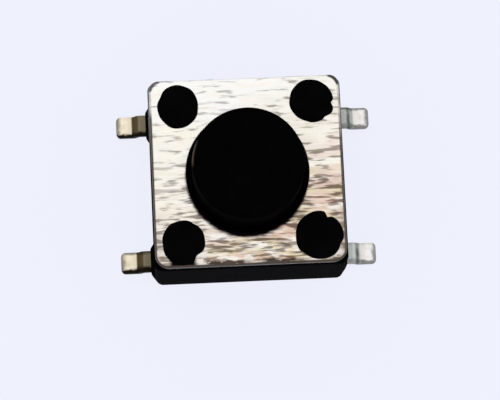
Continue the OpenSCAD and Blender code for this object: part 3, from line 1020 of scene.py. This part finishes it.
class MakeTerminals(Operator):
    """Make the two stamped terminals, with their leads and contacts"""
    bl_idname = "switch.make_terminals"
    bl_label = "Terminals"
    bl_options = {"REGISTER", "UNDO"}

    def execute(self, context):
        settings = context.scene.switch_terminal
        sheet, hair, contact = settings.sheet, settings.hair, settings.contact
        low = settings.strip_height - sheet / 2 + hair
        high = settings.strip_height + sheet / 2 - hair
        top, chamfer, pad = BACK_HIGH.z, settings.chamfer, settings.rim_pad / 2
        tab = bar_along_y(0, -settings.tab_tip, LEAD_Y, settings.tab, low, high, settings)
        stud = round_solid("stud", [(0, low + hair), (contact, low + hair), (contact, top - chamfer),
                                    (contact - chamfer, top), (0, top)], 64)
        hollow = round_solid("hollow", [(0, low - sheet), (contact - sheet, low - sheet),
                                        (contact - sheet, top - sheet), (0, top - sheet)], 48)
        middle = combined(surface("strip", lead_strip(1, settings)), [tab, stud], "UNION")
        middle = combined(middle, [hollow], "DIFFERENCE")
        arms = []
        for x in (-settings.arm_place, settings.arm_place):
            arms.append(bar_along_y(x, -LEAD_Y, settings.arm_tip, settings.arm, low, high, settings))
            arms.append(bar_along_y(x, -pad, pad, settings.arm - 2 * hair, settings.strip_height,
                                    FRONT_HIGH.z, settings))
        rim = combined(surface("strip", lead_strip(-1, settings)), arms, "UNION")
        plating = silver_plating(settings)
        ends = sheared_metal("terminal_sheared_end", settings.sheared)
        for name, mesh, node in (("middle_contact_strip", middle, "middle_contact_terminal"),
                                 ("rim_contact_strip", rim, "rim_contact_terminal")):
            piece = make_piece(name, mesh, SWITCH_BODY, node, "terminal_silver", plating, ends)
            mark_ends(piece.data, BACK_HIGH.x - 2 * settings.burr)
        return {"FINISHED"}


# ---------------------------------------------------------------- stage

def add_floor(scene, settings):
    """A pale floor just under the feet. To the camera and in reflections it is mostly its plain
    colour, with a faint shadow."""
    side = steps(-settings.floor_reach, settings.floor_reach, 6)
    x, y = np.meshgrid(side, side, indexing="ij")
    points, faces = patch(np.stack([x, y, np.full_like(x, -settings.floor_drop)], -1))
    mesh = bpy.data.meshes.new("floor")
    mesh.from_pydata(points.tolist(), [], faces.tolist())
    floor = bpy.data.objects.new("floor", mesh)
    scene.collection.objects.link(floor)
    look = Finish("plain_pale_floor")
    look.surface(Base_Color=settings.floor, Roughness=0.9, Specular_IOR_Level=0.0)
    seen = look.most(*(look.add("LightPath", output=f"Is {kind} Ray")
                       for kind in ("Camera", "Glossy", "Transmission")))
    plain = look.add("Emission", {"Color": settings.floor, "Strength": 1.0})
    both = look.add("MixShader", {0: (1 - settings.shade) * seen,
                                  1: Value(look, look.shader.outputs[0]), 2: plain})
    look.put(look.tree.nodes["Material Output"].inputs["Surface"], both)
    mesh.materials.append(look.material)


def add_light(scene, settings):
    """Even light from all round, and a square lamp that faces the switch. The lamp's power is
    radiance * pi * area."""
    scene.world = bpy.data.worlds.new("studio")
    scene.world.use_nodes = True
    sky = scene.world.node_tree.nodes["Background"]
    sky.inputs["Color"].default_value = (1.0, 1.0, 1.0, 1.0)
    sky.inputs["Strength"].default_value = settings.world
    lamp = bpy.data.lights.new("key_lamp", "AREA")
    lamp.shape, lamp.size = "SQUARE", settings.key_side
    lamp.energy = settings.key * math.pi * settings.key_side ** 2
    key = bpy.data.objects.new("key_lamp", lamp)
    key.location = KEY_DIRECTION * settings.key_distance
    key.rotation_euler = KEY_DIRECTION.to_track_quat("Z", "Y").to_euler()
    scene.collection.objects.link(key)


def add_camera(scene, settings):
    """The camera. It looks at the plate's middle, but for being moved aside and down in its own
    plane."""
    camera = bpy.data.cameras.new("camera")
    camera.sensor_width = 36
    camera.lens = camera.sensor_width * settings.distance / settings.field
    camera.clip_start, camera.clip_end = 0.001, 10
    view = bpy.data.objects.new("camera", camera)
    scene.collection.objects.link(view)
    scene.camera = view
    a, e, roll = settings.azimuth, settings.elevation, settings.roll
    back = Vector((math.sin(a) * math.cos(e), -math.cos(a) * math.cos(e), math.sin(e)))
    right = Vector((math.cos(a), math.sin(a), 0))
    up = back.cross(right)
    right, up = (math.cos(roll) * right + math.sin(roll) * up,
                 math.cos(roll) * up - math.sin(roll) * right)
    aim = Vector((0, 0, PLATE_HIGH.z))
    place = aim + back * settings.distance - right * settings.aside - up * settings.above
    view.matrix_world = Matrix.Translation(place) @ Matrix((right, up, back)).transposed().to_4x4()


class MakeStage(Operator):
    """Make the floor, the light and the camera"""
    bl_idname = "switch.make_stage"
    bl_label = "Floor, light and camera"
    bl_options = {"REGISTER", "UNDO"}

    def execute(self, context):
        context.scene.view_settings.view_transform = "Standard"
        for add in (add_floor, add_light, add_camera):
            add(context.scene, context.scene.switch_stage)
        return {"FINISHED"}


class SwitchPanel(Panel):
    """Lists the pieces and their settings in the sidebar"""
    bl_idname = "VIEW3D_PT_switch"
    bl_label = "Tactile switch"
    bl_space_type = "VIEW_3D"
    bl_region_type = "UI"
    bl_category = "Switch"

    def draw(self, context):
        for group, settings, maker in PIECES:
            box = self.layout.box()
            box.operator(maker.bl_idname)
            for name in settings.__annotations__:
                box.prop(getattr(context.scene, group), name)


# each group of settings, under its name in the scene, with the operator that reads it
PIECES = (
    ("switch_stage", StageSettings, MakeStage),
    ("switch_housing", HousingSettings, MakeHousing),
    ("switch_plate", PlateSettings, MakeCoverPlate),
    ("switch_button", ButtonSettings, MakeButton),
    ("switch_dome", DomeSettings, MakeDome),
    ("switch_terminal", TerminalSettings, MakeTerminals),
)
CLASSES = (*(kind for _, *both in PIECES for kind in both), SwitchPanel)


def register():
    for kind in CLASSES:
        bpy.utils.register_class(kind)
    for group, settings, _ in PIECES:
        setattr(bpy.types.Scene, group, PointerProperty(type=settings))


def unregister():
    for group, _, _ in PIECES:
        delattr(bpy.types.Scene, group)
    for kind in reversed(CLASSES):
        bpy.utils.unregister_class(kind)


def main():
    """Registers the classes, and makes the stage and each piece."""
    register()
    bpy.ops.switch.make_stage()
    bpy.ops.switch.make_housing()
    bpy.ops.switch.make_cover_plate()
    bpy.ops.switch.make_button()
    bpy.ops.switch.make_dome()
    bpy.ops.switch.make_terminals()


if __name__ == "__main__":
    main()
